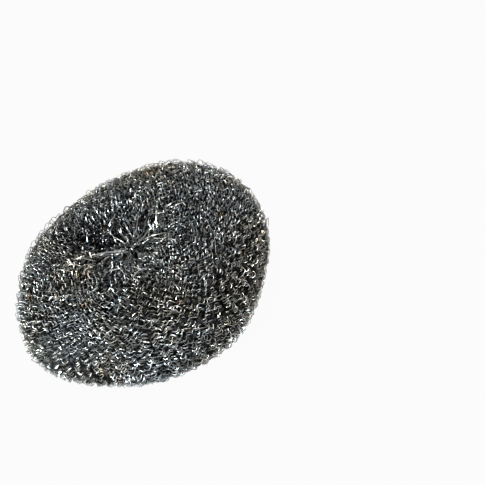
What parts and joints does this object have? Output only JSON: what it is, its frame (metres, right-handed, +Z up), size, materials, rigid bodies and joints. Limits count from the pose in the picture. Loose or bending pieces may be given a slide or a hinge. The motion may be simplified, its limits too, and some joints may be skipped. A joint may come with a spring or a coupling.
{
  "type": "knitted steel scouring pad",
  "caption": "Round scouring pad of knitted flat steel wire, a bun with a gathered dimple in each face, for scrubbing pans and bench metal.",
  "frame": {"origin": "centre of the pad's box on the surface that it lies on", "axes": "+Z up through the two dimples; the folded hollow beside the upper dimple lies towards -X +Y"},
  "size_m": [0.101, 0.0992, 0.0421],
  "materials": {
    "steel_wire": "rolled flat wire, dull grey with bright glints"
  },
  "bodies": {
    "root": {"knitted_pad": "steel_wire"}
  },
  "joints": []
}
